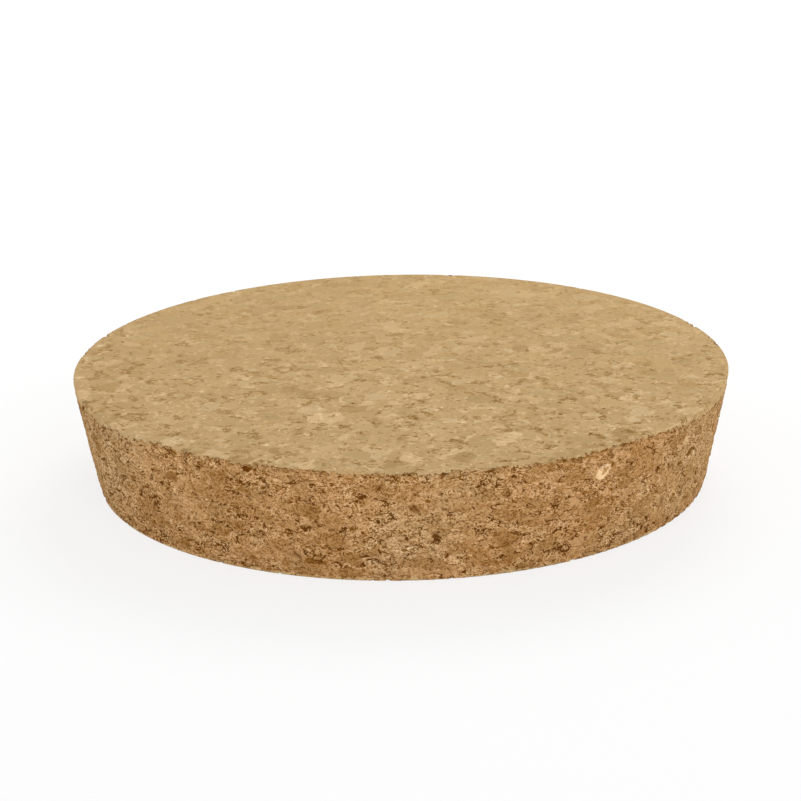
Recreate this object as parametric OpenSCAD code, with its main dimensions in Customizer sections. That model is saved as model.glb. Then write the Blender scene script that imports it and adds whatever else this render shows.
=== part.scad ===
// Cork lid: a tapered disc of agglomerated cork that plugs a wide jar mouth.
// It is pressed, cut and ground from one block, so it is one solid.
// The origin is the centre of the underside, and +Z points up out of the jar.

/* [Plug] */
// Widest diameter, just under the upper face
top_d = 115; // [80:1:180]
// Diameter of the underside, the end that goes into the jar, out to the line of the wall
bottom_d = 107; // [70:1:170]
// Height from the underside to the upper face
lid_h = 20; // [12:0.5:40]

/* [Edges] */
// Radius of the cut edge round the upper face
top_edge_r = 0.3; // [0.2:0.1:2]
// Radius of the rubbed edge round the underside
bottom_edge_r = 0.4; // [0.2:0.1:3]

/* [Pits in the wall] */
// Number of granules torn out of the wall at random by grinding
pit_count = 80; // [0:1:120]
// Width of the smallest torn granule
pit_w_min = 0.8; // [0.6:0.1:1.8]
// Width of the largest torn granule
pit_w_max = 2.2; // [1.9:0.1:5]
// Depth of a pit for each millimetre of its granule's width
pit_depth_rate = 0.3; // [0.1:0.05:0.5]
// Plain wall kept between the pits and each edge
pit_edge_gap = 1.6; // [0.5:0.1:4]
// Seed of the scatter of pits
pit_seed = 11; // [1:1:99]

/* [Granules] */
// Thickness of a granule for each millimetre of its width
granule_flatness = 0.6; // [0.4:0.05:1]
// Depth of a granule, front to back, for each millimetre of its width
granule_length = 0.85; // [0.6:0.05:1.2]

/* [Hidden] */

// Crumbled places on the upper edge: [degrees round the lid, granule width, depth of the bite]
EDGE_BITES = [
    [12, 1.8, 0.6], [47, 2.2, 0.7], [84, 1.4, 0.5], [119, 2.0, 0.6], [152, 1.5, 0.7],
    [177, 2.3, 0.6], [208, 1.6, 0.5], [214, 1.9, 0.6], [218, 2.4, 0.7], [225, 2.0, 0.7],
    [231, 2.6, 0.8], [237, 1.8, 0.6], [244, 1.8, 0.9], [277, 1.5, 0.7], [284, 1.6, 0.5],
    [296, 1.7, 0.5], [307, 2.0, 0.6], [313, 2.4, 0.7], [327, 1.9, 0.6], [342, 1.7, 0.6]
];
BITE_TILT = 45;      // a bite comes in half way between the face and the wall

// Weak places where larger granules have gone: [degrees round the lid, share of the height, width]
TORN_PLACES = [
    [228, 0.76, 1.9], [247, 0.85, 1.8], [250, 0.93, 1.3], [255, 0.09, 2.4], [266, 0.92, 1.4],
    [276, 0.38, 2.0], [277, 0.70, 1.7], [305, 0.87, 1.6], [319, 0.55, 1.8], [328, 0.59, 1.7],
    [331, 0.64, 1.5]
];
EDGE_FN = 64;

bottom_r = bottom_d / 2;

// The upper edge's radius trims its corner, so the wall's line runs out past the widest point
top_r = top_d / 2 + top_edge_r * (1 / tan((90 - atan2(top_d / 2 - bottom_r, lid_h)) / 2) - 1);
taper = atan2(top_r - bottom_r, lid_h);   // lean of the wall from the vertical

// From each corner of the section to where its edge radius starts
top_run = top_edge_r / tan((90 - taper) / 2);
bottom_run = bottom_edge_r / tan((90 + taper) / 2);

function wall_r(z) = bottom_r + (top_r - bottom_r) * z / lid_h;

// The point at this distance from a corner of the section, up the wall
function up_wall(x, z, run) = [x + run * sin(taper), z + run * cos(taper)];

function granule_size(width) = width * [granule_length, 1, granule_flatness];

// How far a turned granule reaches from its middle along X
function granule_reach(size, turn) = (
    abs(cos(turn.y) * cos(turn.z)) * size.x
    + abs(sin(turn.x) * sin(turn.y) * cos(turn.z) - cos(turn.x) * sin(turn.z)) * size.y
    + abs(cos(turn.x) * sin(turn.y) * cos(turn.z) + sin(turn.x) * sin(turn.z)) * size.z
) / 2;

// Half of the lid's section: flat faces, a leaning wall and two rounded edges
module section() {
    polygon([
        [0, 0],
        [bottom_r - bottom_run, 0],
        up_wall(bottom_r, 0, bottom_run),
        up_wall(top_r, lid_h, -top_run),
        [top_r - top_run, lid_h],
        [0, lid_h]
    ]);
    translate([bottom_r - bottom_run, bottom_edge_r]) circle(bottom_edge_r, $fn = EDGE_FN);
    translate([top_r - top_run, lid_h - top_edge_r]) circle(top_edge_r, $fn = EDGE_FN);
}

module blank() {
    rotate_extrude($fn = 180) section();
}

// An angular granule, with its nearest corner at this depth behind X = 0
module granule(width, depth, turn) {
    size = granule_size(width);
    translate([granule_reach(size, turn) - depth, 0, 0])
        rotate(turn) cube(size, center = true);
}

// One granule torn out of the wall, this share of the way up between its two edges
module pit(angle, share, width, turn) {
    z = pit_edge_gap + (lid_h - 2 * pit_edge_gap) * share;
    rotate(angle)
        translate([wall_r(z), 0, z])
        rotate([0, taper, 0])
        granule(width, pit_depth_rate * width, turn);
}

// Granules torn out at random, most of them small, and those gone from the weak places
module wall_pits() {
    at = rands(0, 1, 6 * pit_count, pit_seed);
    for (i = [0 : 1 : pit_count - 1])
        pit(
            360 * (i + at[6 * i + 5]) / pit_count,
            at[6 * i],
            pit_w_min + (pit_w_max - pit_w_min) * pow(at[6 * i + 1], 2),
            360 * [at[6 * i + 2], at[6 * i + 3], at[6 * i + 4]]
        );
    for (place = TORN_PLACES)
        pit(place[0], place[1], place[2], place[0] * [7, 3, 5]);
}

// Granules crumbled off the upper edge
module edge_bites() {
    for (bite = EDGE_BITES)
        rotate(bite[0])
            translate([top_r, 0, lid_h])
            rotate([0, -BITE_TILT, 0])
            granule(bite[1], bite[2], bite[0] * [3, 5, 7]);
}

module cork_lid() {
    color([0.71, 0.57, 0.38])
        difference() {
            blank();
            wall_pits();
            edge_bites();
        }
}

cork_lid();
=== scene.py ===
"""Cork lid: a tapered disc of agglomerated cork, its faces sanded and its wall ground rough."""

import math
from collections import namedtuple

import bpy
import numpy as np
from mathutils import Matrix, Vector
from mathutils.bvhtree import BVHTree


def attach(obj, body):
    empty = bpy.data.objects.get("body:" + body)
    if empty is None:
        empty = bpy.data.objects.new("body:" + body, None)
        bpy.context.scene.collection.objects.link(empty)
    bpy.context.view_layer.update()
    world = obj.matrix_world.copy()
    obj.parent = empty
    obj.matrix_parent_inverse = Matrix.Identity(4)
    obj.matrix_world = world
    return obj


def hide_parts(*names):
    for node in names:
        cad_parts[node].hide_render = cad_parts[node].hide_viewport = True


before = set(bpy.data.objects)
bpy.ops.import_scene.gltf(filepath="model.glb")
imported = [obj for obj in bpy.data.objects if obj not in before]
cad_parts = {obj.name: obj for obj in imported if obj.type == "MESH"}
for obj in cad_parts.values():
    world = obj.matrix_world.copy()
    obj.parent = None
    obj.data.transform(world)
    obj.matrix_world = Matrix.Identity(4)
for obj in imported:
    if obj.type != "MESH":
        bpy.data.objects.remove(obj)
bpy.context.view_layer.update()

MM = 0.001
NODE = "cork_lid"

# ---- Sizes, in millimetres, as on the CAD part ----
TOP_D = 115.0            # at the widest, just under the upper face
BOTTOM_D = 107.0         # across the underside
LID_H = 20.0
TOP_EDGE_R = 0.3
BOTTOM_EDGE_R = 0.4

# ---- The granules, in millimetres ----
COARSE = 3.6             # width of a large granule
FINE = 1.7               # width of a small one, which fills in between
CRUMB = 0.55             # width of the bits that grinding leaves on the wall
FIBRE = 0.27             # width of the torn fibres in a granule
FUZZ = 0.2               # width of the finest unevenness, too small for the mesh
FUZZ_HEIGHT = 0.05
CREVICE = 0.2            # widest gap between two granules
FLATNESS = 0.55          # height of a granule for each millimetre of its width

# ---- The mesh ----
COLUMNS = 1296           # round the wall
WALL_ROWS = 53
EDGE_ROWS = 3            # over each rounded edge
MAP_STRIPS = 3           # the wall lies in this many strips on the bake's map


def srgb(red, green, blue):
    """A colour as it shows on the screen, 0 to 255, for a shader socket."""
    def linear(c):
        c /= 255
        return c / 12.92 if c <= 0.04045 else ((c + 0.055) / 1.055) ** 2.4
    return (linear(red), linear(green), linear(blue), 1.0)


# ==== The section, from the middle of the upper face to the middle of the underside ====

BOTTOM_R = BOTTOM_D / 2
# The upper edge's radius trims its corner, so the wall's line runs out past the widest point
TOP_R = TOP_D / 2 + TOP_EDGE_R * (
    1 / math.tan((math.pi / 2 - math.atan2(TOP_D / 2 - BOTTOM_R, LID_H)) / 2) - 1)
TAPER = math.atan2(TOP_R - BOTTOM_R, LID_H)            # lean of the wall from the vertical
Row = namedtuple("Row", "r z lean run columns")
# lean is the angle of the surface's outward direction above the horizon. run is how far the row is
# past the nearer edge, measured along the surface: above 0 on the wall and below 0 on the faces.


def face_radii(rim_r, steps):
    """Radii of the rings on a flat face. steps are (columns, inner radius, rings down to it)."""
    radii, outer = [], rim_r
    for columns, inner, rings in steps:
        for i in range(rings):
            radii.append((outer + (inner - outer) * (i + 1) / rings, columns))
        outer = inner
    return radii


def edge_centre(corner_r, corner_z, edge_r, opening, side):
    """Centre of an edge's radius. opening is the angle inside the corner, side is 1 for upper."""
    run = edge_r / math.tan(opening / 2)
    return corner_r - run, corner_z - side * edge_r


def section():
    """The rows of the mesh, top to bottom."""
    wall_lean = -TAPER
    top_c = edge_centre(TOP_R, LID_H, TOP_EDGE_R, math.pi / 2 - TAPER, 1)
    bottom_c = edge_centre(BOTTOM_R, 0, BOTTOM_EDGE_R, math.pi / 2 + TAPER, -1)

    def on_arc(centre, radius, lean):
        return centre[0] + radius * math.cos(lean), centre[1] + radius * math.sin(lean)

    top_face = face_radii(top_c[0], [
        (COLUMNS, top_c[0] - 0.9, 3), (COLUMNS // 2, 52.0, 5), (COLUMNS // 4, 30.0, 14),
        (COLUMNS // 8, 10.0, 12), (COLUMNS // 16, 1.5, 6)])
    rows = [Row(r, LID_H, math.pi / 2, r - TOP_R, columns) for r, columns in reversed(top_face)]
    for i in range(EDGE_ROWS + 1):
        lean = math.pi / 2 + (wall_lean - math.pi / 2) * i / EDGE_ROWS
        r, z = on_arc(top_c, TOP_EDGE_R, lean)
        rows.append(Row(r, z, lean, TOP_EDGE_R * (math.pi / 4 - lean), COLUMNS))
    start = on_arc(top_c, TOP_EDGE_R, wall_lean)
    end = on_arc(bottom_c, BOTTOM_EDGE_R, wall_lean)
    length = math.dist(start, end)
    for i in range(1, WALL_ROWS):
        t = i / WALL_ROWS
        r, z = start[0] + (end[0] - start[0]) * t, start[1] + (end[1] - start[1]) * t
        rows.append(Row(r, z, wall_lean, min(t, 1 - t) * length + TOP_EDGE_R, COLUMNS))
    for i in range(EDGE_ROWS + 1):
        lean = wall_lean + (-math.pi / 2 - wall_lean) * i / EDGE_ROWS
        r, z = on_arc(bottom_c, BOTTOM_EDGE_R, lean)
        rows.append(Row(r, z, lean, BOTTOM_EDGE_R * (math.pi / 4 + lean), COLUMNS))
    bottom_face = face_radii(bottom_c[0], [
        (COLUMNS // 2, 51.5, 2), (COLUMNS // 4, 30.0, 12),
        (COLUMNS // 8, 10.0, 10), (COLUMNS // 16, 1.5, 5)])
    rows += [Row(r, 0, -math.pi / 2, r - BOTTOM_R, columns) for r, columns in bottom_face]
    return rows


# ==== The mesh ====

def ring_faces(upper, lower):
    """Faces between two rings of vertex numbers, where one may have twice as many as the other."""
    n, m = len(upper), len(lower)
    if n == m:
        return [(upper[i], lower[i], lower[(i + 1) % n], upper[(i + 1) % n]) for i in range(n)]
    faces = []
    for i in range(min(n, m)):
        if n > m:
            a, b, c = (upper[(2 * i + k) % n] for k in range(3))
            d, e = lower[i], lower[(i + 1) % m]
            faces += [(a, d, b), (b, d, e), (b, e, c)]
        else:
            a, b = upper[i], upper[(i + 1) % n]
            c, d, e = (lower[(2 * i + k) % m] for k in range(3))
            faces += [(a, c, d), (a, d, b), (b, d, e)]
    return faces


def lid_mesh():
    """The bare lid with the CAD part's pits pressed into it, and where each vertex belongs."""
    rows = section()
    places, outward, runs, rings = [], [], [], []
    for row in rows:
        first = len(places)
        for i in range(row.columns):
            a = 2 * math.pi * i / row.columns
            places.append((row.r * math.cos(a), row.r * math.sin(a), row.z))
            outward.append((math.cos(row.lean) * math.cos(a), math.cos(row.lean) * math.sin(a),
                            math.sin(row.lean)))
            runs.append(row.run)
        rings.append(list(range(first, first + row.columns)))
    faces = []
    for upper, lower in zip(rings, rings[1:]):
        faces += ring_faces(upper, lower)
    for ring, z, turn in ((rings[0], LID_H, 1), (rings[-1], 0, -1)):
        middle = len(places)
        places.append((0, 0, z))
        outward.append((0, 0, turn))
        runs.append(-BOTTOM_R)
        n = len(ring)
        for i in range(n):
            a, b = ring[i], ring[(i + 1) % n]
            faces.append((middle, a, b) if turn > 0 else (middle, b, a))
    places, outward = np.array(places), np.array(outward)
    torn = pit_depths(places, outward)
    pressed = places - outward * torn[:, None]
    mesh = bpy.data.meshes.new(NODE + "_ground")
    mesh.from_pydata((pressed * MM).tolist(), [], faces)
    mesh.shade_smooth()
    for name, kind, values in (
            ("rest_mm", "FLOAT_VECTOR", places), ("outward", "FLOAT_VECTOR", outward),
            ("wall_run", "FLOAT", np.array(runs)), ("torn", "FLOAT", torn)):
        field = "value" if kind == "FLOAT" else "vector"
        mesh.attributes.new(name, kind, "POINT").data.foreach_set(field, values.astype("f").ravel())
    return mesh


PIT_REACH = 3.0          # a ray starts this far outside the lid
PIT_LEAST = 0.06         # a smaller depth is only the CAD mesh's own facets


def pit_depths(places, outward):
    """How far the CAD part's surface lies inside the plain form at each vertex, in millimetres."""
    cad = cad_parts[NODE].data
    tree = BVHTree.FromPolygons([v.co for v in cad.vertices],
                                [tuple(p.vertices) for p in cad.polygons])
    depths = np.zeros(len(places))
    for i, (place, out) in enumerate(zip(places, outward)):
        start = Vector(place + out * PIT_REACH) * MM
        hit = tree.ray_cast(start, -Vector(out), 2 * PIT_REACH * MM)
        if hit[0] is not None:
            depth = hit[3] / MM - PIT_REACH
            depths[i] = depth if depth > PIT_LEAST else 0
    return depths


# ==== Nodes that a shader and a geometry tree both take ====

Cells = namedtuple("Cells", "colour way distance")


class Graph:
    """Adds nodes to a tree. A value may be a number, vector, colour or another node's output."""

    def __init__(self, tree):
        self.tree = tree

    def add(self, kind, values=None, **settings):
        node = self.tree.nodes.new(kind)
        for name, value in settings.items():
            setattr(node, name, value)
        for key, value in (values or {}).items():
            socket = node.inputs[key]
            if isinstance(value, bpy.types.NodeSocket):
                self.tree.links.new(value, socket)
            else:
                socket.default_value = value
        return node

    def math(self, operation, *values):
        return self.add("ShaderNodeMath", dict(enumerate(values)), operation=operation).outputs[0]

    def vector(self, operation, *values):
        node = self.add("ShaderNodeVectorMath", dict(enumerate(values)), operation=operation)
        return node.outputs["Value" if operation in ("LENGTH", "DOT_PRODUCT") else "Vector"]

    def scale(self, vector, factor):
        node = self.add("ShaderNodeVectorMath", {0: vector, "Scale": factor}, operation="SCALE")
        return node.outputs["Vector"]

    def step(self, value, low, high):
        """0 up to low and 1 from high, smoothly. With low above high it falls instead."""
        node = self.add("ShaderNodeMapRange", {"Value": value, "From Min": low, "From Max": high},
                        interpolation_type="SMOOTHSTEP")
        return node.outputs["Result"]

    def stretched(self, place, way, times):
        """A place at which a pattern is drawn so many times longer along a direction."""
        way = self.vector("NORMALIZE", way)
        return self.vector("SUBTRACT", place, self.scale(
            way, self.math("MULTIPLY", self.vector("DOT_PRODUCT", place, way), 1 - 1 / times)))

    def noise(self, place, size, detail=2.0, rough=0.5, output="Fac"):
        node = self.add("ShaderNodeTexNoise", {"Vector": place, "Scale": 1 / size, "Detail": detail,
                                               "Roughness": rough})
        return node.outputs[output]

    def cells(self, place, size):
        """Granules of about this width. distance is how far off the nearest one's middle is."""
        node = self.add("ShaderNodeTexVoronoi", {"Vector": place, "Scale": 1 / size})
        way = self.vector("SUBTRACT", node.outputs["Color"], (0.5,) * 3)
        return Cells(self.parts(node.outputs["Color"]), way, node.outputs["Distance"])

    def cell_edge(self, place, size):
        """Distance to the edge of such a granule, in millimetres."""
        node = self.add("ShaderNodeTexVoronoi", {"Vector": place, "Scale": 1 / size},
                        feature="DISTANCE_TO_EDGE")
        return self.math("MULTIPLY", node.outputs["Distance"], size)

    def parts(self, vector):
        return self.add("ShaderNodeSeparateXYZ", {0: vector}).outputs

    def mix(self, fac, a, b):
        """Between two numbers."""
        node = self.add("ShaderNodeMix", {0: fac, 2: a, 3: b}, data_type="FLOAT")
        return node.outputs[0]

    def blend(self, fac, a, b, kind="MIX"):
        """Between two colours."""
        node = self.add("ShaderNodeMix", {0: fac, 6: a, 7: b}, data_type="RGBA", blend_type=kind)
        return node.outputs[2]

    def total(self, *terms):
        """The sum of (weight, value) pairs and plain numbers."""
        total = None
        for term in terms:
            value = self.math("MULTIPLY", term[1], term[0]) if isinstance(term, tuple) else term
            total = value if total is None else self.math("ADD", total, value)
        return total


# ==== The agglomerate ====

Field = namedtuple("Field", "ragged tone hue coarse_tone smooth crevice seam lip crumb speck gap "
                            "grain fibre fleck flake")


def agglomerate(g, place):
    """Pressed granules at a place in the block, and what sanding and grinding do to them.

    Everything but ragged runs from 0 to 1. ragged is the place itself, shaken a little so that
    outlines drawn there come out torn. tone, hue and smooth are a granule's own, and coarse_tone is
    that of the large granule round about. crevice is 1 in a gap between two granules, and seam in
    the thin line that sanding leaves of one. The field after seam is 1 on the edge beside it, away
    from a gap, where a pale rim is painted: a painted highlight. crumb and speck are a loose bit's
    own, and gap is 1 between the bits. grain is the cork's fine unevenness, and fibre its torn
    fibres, which run one way in each granule. fleck and flake are 1 on a dark or a pale fragment in
    the middle of a granule.
    """
    def bend(size, detail, reach):
        spread = g.vector("SUBTRACT", g.noise(place, size, detail, output="Color"), (0.5,) * 3)
        return g.scale(spread, reach)

    ragged = g.vector("ADD", place, bend(0.5, 2, 0.8))
    bent = g.vector("MULTIPLY", g.vector("ADD", ragged, bend(2.4, 1, 2.4)), (1, 1, 1 / FLATNESS))
    flat = g.vector("MULTIPLY", place, (1, 1, 1 / FLATNESS))
    coarse, fine, crumb = g.cells(bent, COARSE), g.cells(bent, FINE), g.cells(bent, CRUMB)
    coarse_edge, fine_edge = g.cell_edge(bent, COARSE), g.cell_edge(bent, FINE)
    big = g.step(coarse.colour[0], 0.5, 0.52)
    edge = g.mix(big, g.math("MINIMUM", coarse_edge, fine_edge), coarse_edge)

    # A crevice opens along part of an edge, and a crack runs where a slow noise crosses its middle
    open_here = g.noise(flat, 2.2, 3, 0.6)
    width = g.math("MULTIPLY", g.step(open_here, 0.46, 0.72), CREVICE)
    share = g.math("DIVIDE", edge, g.math("ADD", width, 0.001))
    crevice = g.math("SUBTRACT", 1.0, g.step(share, 0.75, 1.0))
    crevice = g.math("MULTIPLY", crevice, g.step(width, 0.02, 0.08))
    crossing = g.math("ABSOLUTE", g.math("SUBTRACT", g.noise(flat, 1.6, 3, 0.55), 0.5))
    crack = g.math("MULTIPLY", g.step(crossing, 0.02, 0.008),
                   g.step(g.noise(flat, 0.9, 2), 0.48, 0.52))
    crevice = g.math("MAXIMUM", crevice, crack)
    seam = g.math("MULTIPLY", g.step(edge, 0.28, 0.18), g.step(open_here, 0.56, 0.6))
    # A pale rim on a granule's edge, away from crevices: a painted highlight
    lip = g.math("MULTIPLY", g.step(edge, 0.34, 0.12), g.math("SUBTRACT", 1.0, crevice))
    middle = g.step(fine.distance, 0.36, 0.28)
    way = g.vector("MULTIPLY", fine.way, (1, 1, 0.45))       # pressing lays the fibres flatter
    return Field(
        ragged=ragged, coarse_tone=coarse.colour[2],
        tone=g.mix(big, fine.colour[1], coarse.colour[1]),
        hue=g.mix(big, fine.colour[2], coarse.colour[2]),
        smooth=g.mix(big, fine.colour[0], 1.0), crevice=crevice, seam=seam, lip=lip,
        crumb=crumb.colour[1], speck=crumb.colour[0], gap=g.step(crumb.distance, 0.35, 0.7),
        grain=g.step(g.noise(flat, 0.34, 3, 0.65), 0.34, 0.66),
        fibre=g.step(g.noise(g.stretched(place, way, 4.5), FIBRE, 1, 0.5), 0.32, 0.56),
        fleck=g.math("MULTIPLY", middle, g.step(fine.colour[0], 0.2, 0.17)),
        flake=g.math("MULTIPLY", middle, g.step(fine.colour[0], 0.82, 0.85)))


def crumble(g, place):
    """1 where an edge has crumbled away, in stretches with sound edge between them."""
    stretch = g.step(g.noise(place, 9.0, 2), 0.46, 0.6)
    return g.math("MULTIPLY", stretch, g.step(g.noise(place, 1.5, 3, 0.6), 0.5, 0.66))


SHEEN_TURNS = (197, 343)     # degrees round the lid at which the wall is painted paler, a painted sheen


def sheen_ends(g, place):
    """1 near the two places round the lid at which the wall is painted paler, a painted sheen."""
    sheen_and_pale_patch = 0.0
    for turn in SHEEN_TURNS:
        way = (math.cos(math.radians(turn)) / TOP_R, math.sin(math.radians(turn)) / TOP_R, 0)
        sheen_and_pale_patch = g.math("MAXIMUM", sheen_and_pale_patch, g.step(g.vector("DOT_PRODUCT", place, way), 0.86, 0.97))
    return sheen_and_pale_patch


def past_border(g, run, place, field):
    """How far a place lies past the uneven border between a sanded face and the ground wall."""
    # At the painted sheen's two places the paler sanded face reaches lower down the wall
    border_lowered = g.math("MULTIPLY", sheen_ends(g, place), g.step(g.parts(place)[2], 8.0, 12.0))
    return g.total((1, run), (2.8, g.noise(place, 0.8, 3, 0.7)), (0.8, crumble(g, place)),
                   (1.0, field.tone), (-1.3, border_lowered), -2.05)


RELIEF_MIDDLE = 0.2      # taken off the relief, so that the wall stays where the CAD part has it
CRUMBLED_DEPTH = 0.45    # where an edge has crumbled


def relief_nodes(tree):
    """Moves the ground wall in and out a fraction of a millimetre, near its edges only inward."""
    g = Graph(tree)
    tree.interface.new_socket("Geometry", in_out="INPUT", socket_type="NodeSocketGeometry")
    tree.interface.new_socket("Geometry", in_out="OUTPUT", socket_type="NodeSocketGeometry")

    def attribute(name, kind):
        node = g.add("GeometryNodeInputNamedAttribute", {"Name": name}, data_type=kind)
        return node.outputs["Attribute"]

    place = attribute("rest_mm", "FLOAT_VECTOR")
    run = attribute("wall_run", "FLOAT")
    field = agglomerate(g, place)
    wall = g.step(past_border(g, run, place, field), -0.05, 0.05)
    inner = g.step(run, -0.1, 0.9)
    depth = g.total((0.14, field.tone), (0.2, field.crevice), (0.12, field.crumb),
                    (0.14, g.math("SUBTRACT", 1.0, field.grain)))
    depth = g.math("SUBTRACT", g.math("MULTIPLY", depth, inner),
                   g.math("MULTIPLY", g.step(run, 0.5, 2.0), RELIEF_MIDDLE))
    crumbled = g.math("MULTIPLY", g.math("MULTIPLY", crumble(g, place), wall),
                      g.step(run, 1.8, 0.2))
    depth = g.math("ADD", depth, g.math("MULTIPLY", crumbled, CRUMBLED_DEPTH))
    offset = g.scale(attribute("outward", "FLOAT_VECTOR"), g.math("MULTIPLY", depth, -MM))
    start = g.add("NodeGroupInput")
    moved = g.add("GeometryNodeSetPosition", {"Geometry": start.outputs[0], "Offset": offset})
    end = g.add("NodeGroupOutput")
    tree.links.new(moved.outputs[0], end.inputs[0])


# ==== The cork's material ====

# Cork keeps its hue from its darkest crevice to its palest crumb, so a tone is a number of screen
# levels above or below these colours.
WALL_COLOUR = (175, 132, 82)
# Paler, greyer wall colour for the painted sheen and for pale patches of the cork's own
SHEEN_AND_PATCH_COLOUR = (177, 141, 95)
FACE_COLOUR = (191, 160, 114)
# Dark of the gaps between granules, and of the painted shade in the hollows
CREVICE_AND_SHADE_COLOUR = (96, 54, 10)
TONE_SPAN = 80                # levels from a colour to either end of its ramp
TONE_SPANS = (80, 85, 90)     # the same in red, green and blue: the light makes dark tones greyish
DARKEST, PALEST = 6, 250


def toned(g, colour, levels):
    """The colour raised or lowered by this many screen levels."""
    ramp = g.add("ShaderNodeValToRGB", {0: g.total((0.5 / TONE_SPAN, levels), 0.5)})
    elements = ramp.color_ramp.elements
    stops = [-1.0, -0.5, 0.0, 0.5, 1.0]
    while len(elements) < len(stops):
        elements.new(0.5)
    for element, stop in zip(elements, stops):
        element.position = 0.5 + 0.5 * stop
        element.color = srgb(*(min(max(c + stop * span, DARKEST), PALEST)
                               for c, span in zip(colour, TONE_SPANS)))
    return ramp.outputs[0]


def spread(g, levels, value):
    """A value from 0 to 1 as levels either side of 0."""
    return g.total((2 * levels, value), -levels)


# Granules and hollows that stand out on the wall, the hollows painted dark as painted shade:
# degrees round the lid, height, width along the wall, width up it, rise to the right in degrees,
# and levels.
# Later ones lie over earlier ones.
PLACED = [
    (305.1, 15.7, 3.4, 2.3, 40, 78),
    (305.4, 15.8, 1.7, 0.8, 40, 6),
    (306.9, 16.8, 0.9, 0.7, 50, -56),
    (306.2, 13.4, 1.3, 0.4, 20, -48),
    (307.5, 12.0, 1.0, 0.5, -40, -50),
    (315.5, 10.9, 1.8, 0.9, 15, 34),
    (299.7, 11.4, 1.9, 2.2, 70, 24),
    (228.1, 14.5, 2.6, 2.0, 0, -24),
    (254.7, 3.1, 4.2, 1.1, 0, -40),
    (301.2, 3.5, 7.5, 2.0, 18, 22),
    (295.8, 3.1, 2.4, 0.35, 12, -50),
    (275.5, 8.0, 1.7, 0.7, -15, -66),
    (274.1, 14.8, 1.1, 0.6, -10, -52),
    (287.5, 5.5, 2.4, 1.4, 0, -22),
    (285.0, 5.4, 1.4, 0.5, -45, -58),
    (270.1, 5.9, 1.2, 0.5, 0, -48),
    (272.8, 11.2, 1.6, 0.35, 0, -50),
    (329.6, 12.6, 2.3, 1.3, 20, -62),
    (326.0, 11.6, 1.7, 1.0, 0, -60),
    (246.6, 15.8, 0.6, 0.5, 0, -66),
    (266.1, 17.0, 0.7, 0.5, 20, -66),
    (244.1, 18.9, 1.6, 1.1, 0, -84),
    (217.1, 18.6, 1.4, 0.9, 0, -40),
    (211.3, 19.0, 1.6, 0.7, -20, -52),
    (229.5, 19.2, 1.5, 0.6, -15, -50),
    (241.3, 19.5, 1.0, 0.6, 0, -52),
    (317.6, 19.6, 1.8, 0.6, 25, -56),
    (320.9, 19.2, 1.4, 0.6, 30, 34),
    (326.8, 19.6, 2.4, 0.7, 30, -56),
    (304.5, 19.7, 1.4, 0.5, 15, -50),
    (276.6, 19.5, 0.9, 0.7, 0, -66),
    (283.8, 19.4, 2.0, 0.6, 5, -56),
    (309.4, 19.7, 2.8, 0.5, 15, -52),
]
PLACED_DEPTH = 1.5       # how far each reaches into the wall
PLACED_STRENGTH = 0.85   # share of the block's own pattern that each one hides


def placed_granules_and_shade(g, ragged, levels):
    """The levels with the granules in PLACED set over them, the dark ones as hollows in painted
    shade.
    """
    for turn, z, width, height, rise, level in PLACED:
        r = BOTTOM_R + (TOP_R - BOTTOM_R) * z / LID_H
        turn = math.radians(turn)
        local = g.add("ShaderNodeMapping", {
            "Vector": ragged, "Location": (r * math.cos(turn), r * math.sin(turn), z),
            "Rotation": (0, -math.radians(rise), turn + math.pi / 2),
            "Scale": (width / 2, PLACED_DEPTH, height / 2)}, vector_type="TEXTURE").outputs[0]
        mask = g.step(g.vector("LENGTH", local), 1.04, 0.86)
        levels = g.mix(g.math("MULTIPLY", mask, PLACED_STRENGTH), levels, level)
    return levels


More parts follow.
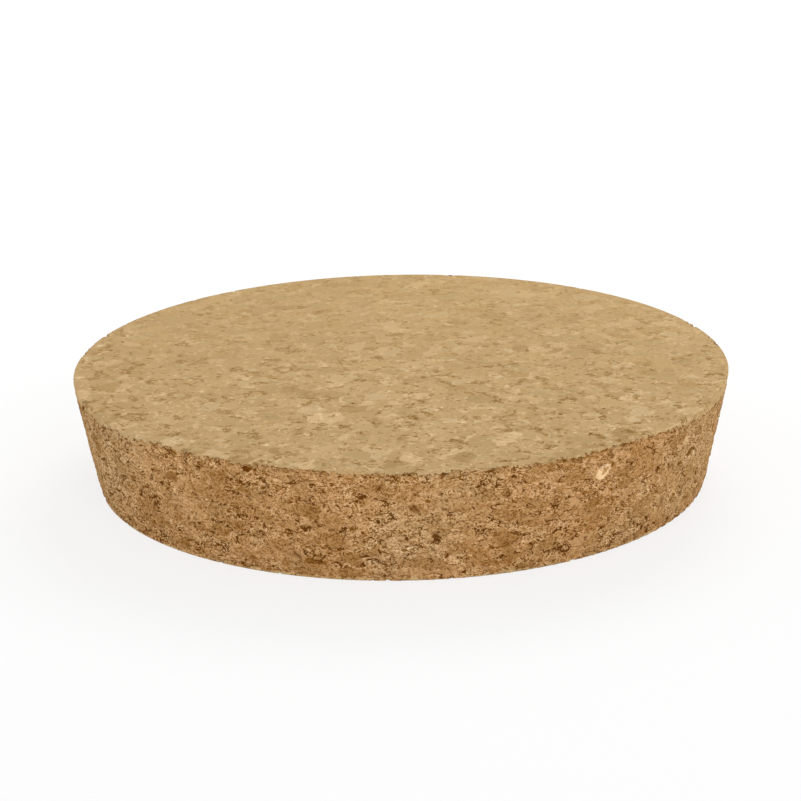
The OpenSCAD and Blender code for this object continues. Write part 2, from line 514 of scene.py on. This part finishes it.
def cork_material():
    material = bpy.data.materials.new("agglomerated_cork")
    material.use_nodes = True
    tree = material.node_tree
    shader = tree.nodes["Principled BSDF"]
    g = Graph(tree)
    place = g.add("ShaderNodeAttribute", attribute_name="rest_mm").outputs["Vector"]
    run = g.add("ShaderNodeAttribute", attribute_name="wall_run").outputs["Fac"]
    torn = g.add("ShaderNodeAttribute", attribute_name="torn").outputs["Fac"]
    field = agglomerate(g, place)
    past = past_border(g, run, place, field)
    wall = g.step(past, -0.05, 0.05)
    patch = g.noise(place, 12.0, 2)

    # Ground wall: strong tones, the more so on crumbly granules, and a painted highlight on granule
    # edges
    loose = g.mix(field.smooth, 1.12, 0.44)
    ground = g.total(
        spread(g, 10, field.tone), spread(g, 16, patch), spread(g, 8, field.coarse_tone),
        (14, field.lip), (8, field.flake),
        g.math("MULTIPLY", loose, g.total(
            spread(g, 11, field.crumb), spread(g, 43, field.fibre), (-12, field.gap), -15,
            (12, g.step(field.speck, 0.9, 0.92)), (-42, g.step(field.speck, 0.1, 0.08)))),
        -1.0)
    ground = placed_granules_and_shade(g, field.ragged, ground)
    # Painted sheen: paler, greyer colour near two places round the wall, with pale patches of the
    # cork's own tone at random elsewhere
    sheen_and_pale_patch = g.total((0.7, sheen_ends(g, place)),
                     (0.6, g.step(g.noise(place, 16.0, 2), 0.5, 0.7)))
    ground = g.blend(sheen_and_pale_patch, toned(g, WALL_COLOUR, ground), toned(g, SHEEN_AND_PATCH_COLOUR, ground))

    # Painted shade in its hollows, over the gaps' own dark colour: crevices, edges broken by
    # grinding, torn pits painted darker the deeper they are, and a painted shadow along what lifts
    # at the border
    broken = g.math("MULTIPLY", g.step(run, 1.5, 0.4),
                    g.step(g.noise(place, 0.7, 3, 0.6), 0.53, 0.6))
    lifted_edge_shadow = g.math("MULTIPLY", g.step(past, 0.45, 0.15),
                    g.step(g.noise(place, 2.2, 3, 0.6), 0.48, 0.54))
    gap_dark_and_shade = 0.0
    for share, mask in ((0.95, field.crevice), (0.6, broken), (0.7, g.step(torn, 0.12, 0.5)),
                        (0.8, lifted_edge_shadow)):
        gap_dark_and_shade = g.math("MAXIMUM", gap_dark_and_shade, g.math("MULTIPLY", mask, share))
    ground = g.blend(gap_dark_and_shade, ground, srgb(*CREVICE_AND_SHADE_COLOUR))

    # Sanded faces: the same granules, faint and crisp, with flecks and short dark seams, and a
    # faint painted highlight beside the seams
    sanded = g.total(
        spread(g, 4, field.coarse_tone), spread(g, 4, field.tone), spread(g, 2, field.crumb),
        (10, g.step(field.tone, 0.87, 0.89)), (-9, g.step(field.tone, 0.12, 0.1)),
        spread(g, 3, field.fibre), spread(g, 6, patch), -1.3, (-16, field.fleck), (14, field.flake),
        (-26, g.step(field.speck, 0.03, 0.025)), (18, g.step(field.speck, 0.95, 0.955)),
        (-30, field.seam), (4, field.lip))
    worn = g.step(g.parts(place)[1], -40.0, 40.0)            # plainer towards +Y
    sanded = toned(g, FACE_COLOUR, g.math("MULTIPLY", sanded, g.mix(worn, 1.1, 0.6)))
    colour = g.blend(wall, sanded, ground)
    warm = g.blend(field.hue, srgb(252, 254, 255), srgb(255, 251, 246))
    tree.links.new(g.blend(1.0, colour, warm, "MULTIPLY"), shader.inputs["Base Color"])
    fuzz = g.noise(place, FUZZ, 1)
    bump = g.add("ShaderNodeBump", {"Strength": g.mix(wall, 0.25, 0.8), "Height": fuzz,
                                    "Distance": FUZZ_HEIGHT * MM})
    tree.links.new(bump.outputs["Normal"], shader.inputs["Normal"])
    tree.links.new(g.mix(wall, 0.72, 0.9), shader.inputs["Roughness"])
    shader.inputs["Specular IOR Level"].default_value = 0.0
    return material


# ==== The bake's map ====

MAP_PIXELS = 1024
MAP_MARGIN = 6 / MAP_PIXELS
STRIP_HIGH = 143 / MAP_PIXELS


def lay_map(mesh):
    """A map that gives the visible wall and faces as many pixels as the bake has."""
    layer = mesh.uv_layers.new(name="OFBake")
    rest = np.empty(len(mesh.vertices) * 3, "f")
    mesh.attributes["rest_mm"].data.foreach_get("vector", rest)
    corner, first, count = (np.empty(n, "i") for n in
                            (len(mesh.loops), len(mesh.polygons), len(mesh.polygons)))
    mesh.loops.foreach_get("vertex_index", corner)
    mesh.polygons.foreach_get("loop_start", first)
    mesh.polygons.foreach_get("loop_total", count)
    place = rest.reshape(-1, 3)[corner]
    face = np.repeat(np.arange(len(first)), count)
    middle = np.add.reduceat(place, first)[face] / count[face, None]

    strips_high = MAP_STRIPS * (STRIP_HIGH + MAP_MARGIN) + MAP_MARGIN
    top_size = 1 - strips_high - MAP_MARGIN
    bottom_size = 1 - top_size - 3 * MAP_MARGIN
    top_uv = (place[:, :2] / TOP_D * top_size
              + (MAP_MARGIN + top_size / 2, strips_high + top_size / 2))
    bottom_uv = (place[:, :2] * (-1, 1) / BOTTOM_D * bottom_size
                 + (2 * MAP_MARGIN + top_size + bottom_size / 2, strips_high + bottom_size / 2))
    turn = np.arctan2(middle[:, 1], middle[:, 0]) / (2 * np.pi) % 1
    strip = np.minimum((turn * MAP_STRIPS).astype(int), MAP_STRIPS - 1)
    turn += (np.arctan2(place[:, 1], place[:, 0]) / (2 * np.pi) - turn + 0.5) % 1 - 0.5
    wall_uv = np.stack([
        (turn * MAP_STRIPS - strip) * (1 - 2 * MAP_MARGIN) + MAP_MARGIN,
        place[:, 2] / LID_H * STRIP_HIGH + MAP_MARGIN + strip * (STRIP_HIGH + MAP_MARGIN)], 1)
    on_top = (middle[:, 2] > LID_H - 0.5 * TOP_EDGE_R)[:, None]
    on_bottom = (middle[:, 2] < 0.5 * BOTTOM_EDGE_R)[:, None]
    uvs = np.where(on_top, top_uv, np.where(on_bottom, bottom_uv, wall_uv))
    layer.uv.foreach_set("vector", uvs.astype("f").ravel())


# ==== The lid ====

def make_lid():
    mesh = lid_mesh()
    bare = bpy.data.objects.new(NODE + "_bare", mesh)
    bpy.context.scene.collection.objects.link(bare)
    relief = bpy.data.node_groups.new("ground_relief", "GeometryNodeTree")
    relief_nodes(relief)
    bare.modifiers.new("relief", "NODES").node_group = relief
    shown = bare.evaluated_get(bpy.context.evaluated_depsgraph_get())
    ground = bpy.data.meshes.new_from_object(shown)
    bpy.data.objects.remove(bare)
    ground.name = NODE + "_ground"
    lay_map(ground)
    lid = bpy.data.objects.new(NODE + "_ground", ground)
    bpy.context.scene.collection.objects.link(lid)
    ground.materials.clear()
    ground.materials.append(cork_material())
    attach(lid, "root")
    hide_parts(NODE)


# ==== Floor, light and camera ====

FLOOR_SIZE = 8.0
FLOOR_NEAR, FLOOR_FAR = 0.15, 0.6       # it turns plain white between these distances
HORIZON_LIGHT = 1.7
ZENITH_LIGHT = 0.2
WHITE = (1.0, 1.0, 1.0, 1.0)


def seen_directly(g):
    """1 for camera, mirror and see-through rays, and 0 for light that bounces."""
    path = g.add("ShaderNodeLightPath").outputs
    seen = g.math("MAXIMUM", path["Is Camera Ray"], path["Is Glossy Ray"])
    return g.math("MAXIMUM", seen, path["Is Transmission Ray"])


def make_floor():
    """A pale floor, seen whiter than it is lit, so that it meets the white backdrop."""
    bpy.ops.mesh.primitive_plane_add(size=FLOOR_SIZE)
    floor = bpy.context.object
    floor.name = "floor"
    material = bpy.data.materials.new("pale_floor")
    material.use_nodes = True
    tree = material.node_tree
    g = Graph(tree)
    tree.nodes.remove(tree.nodes["Principled BSDF"])
    seen = seen_directly(g)
    lit = g.add("ShaderNodeBsdfDiffuse", {"Color": g.blend(seen, (0.85, 0.85, 0.85, 1), WHITE)})
    white = g.add("ShaderNodeEmission", {"Color": WHITE, "Strength": 1.0})
    away = g.vector("LENGTH", g.add("ShaderNodeNewGeometry").outputs["Position"])
    glow = g.mix(g.step(away, FLOOR_NEAR, FLOOR_FAR), 0.75, 1.0)
    both = g.add("ShaderNodeMixShader", {0: g.math("MULTIPLY", seen, glow), 1: lit.outputs[0],
                                         2: white.outputs[0]})
    tree.links.new(both.outputs[0], tree.nodes["Material Output"].inputs["Surface"])
    floor.data.materials.append(material)


def make_world():
    """Soft light from all round, brighter from the sides than from overhead."""
    world = bpy.data.worlds.new("studio")
    bpy.context.scene.world = world
    world.use_nodes = True
    g = Graph(world.node_tree)
    background = world.node_tree.nodes["Background"]
    background.inputs["Color"].default_value = WHITE
    direction = g.add("ShaderNodeTexCoord").outputs["Generated"]
    height = g.math("MAXIMUM", g.parts(direction)[2], 0.0)
    strength = g.mix(seen_directly(g), g.mix(height, HORIZON_LIGHT, ZENITH_LIGHT), 1.0)
    world.node_tree.links.new(strength, background.inputs["Strength"])


def make_lamp(name, place, size, power):
    lamp = bpy.data.lights.new(name, "AREA")
    lamp.shape = "DISK"
    lamp.size = size
    lamp.energy = power
    piece = bpy.data.objects.new(name, lamp)
    piece.location = place
    piece.rotation_mode = "QUATERNION"
    piece.rotation_quaternion = (-Vector(place)).to_track_quat("-Z", "Y")
    bpy.context.scene.collection.objects.link(piece)


PHOTO_SIDE = 801         # pixels
FOCAL_PIXELS = 3051.3    # focal length in pixels of the photograph
CAMERA_PLACE = (0.0, -0.5128, 0.1822)
CAMERA_FORWARD = (-0.0002986, 0.9497206, -0.3130986)
CAMERA_UP = (0.0160114, 0.313063, 0.9495974)


def make_camera():
    data = bpy.data.cameras.new("camera")
    data.sensor_width = 36.0
    data.lens = FOCAL_PIXELS * data.sensor_width / PHOTO_SIDE
    camera = bpy.data.objects.new("camera", data)
    forward, up = Vector(CAMERA_FORWARD), Vector(CAMERA_UP)
    right = forward.cross(up)
    turn = Matrix((right, up, -forward)).transposed()
    camera.matrix_world = Matrix.Translation(CAMERA_PLACE) @ turn.to_4x4()
    bpy.context.scene.collection.objects.link(camera)
    bpy.context.scene.camera = camera


make_lid()
make_floor()
make_world()
make_lamp("key", (0.3, -1.15, 0.45), 0.8, 3.2)
make_lamp("left", (-1.2, 0.2, 0.35), 0.6, 0.6)
make_lamp("right", (1.2, 0.2, 0.35), 0.6, 1.2)
make_lamp("back", (0.1, 0.38, 0.32), 0.3, 1.05)
make_camera()
bpy.context.scene.view_settings.view_transform = "Standard"
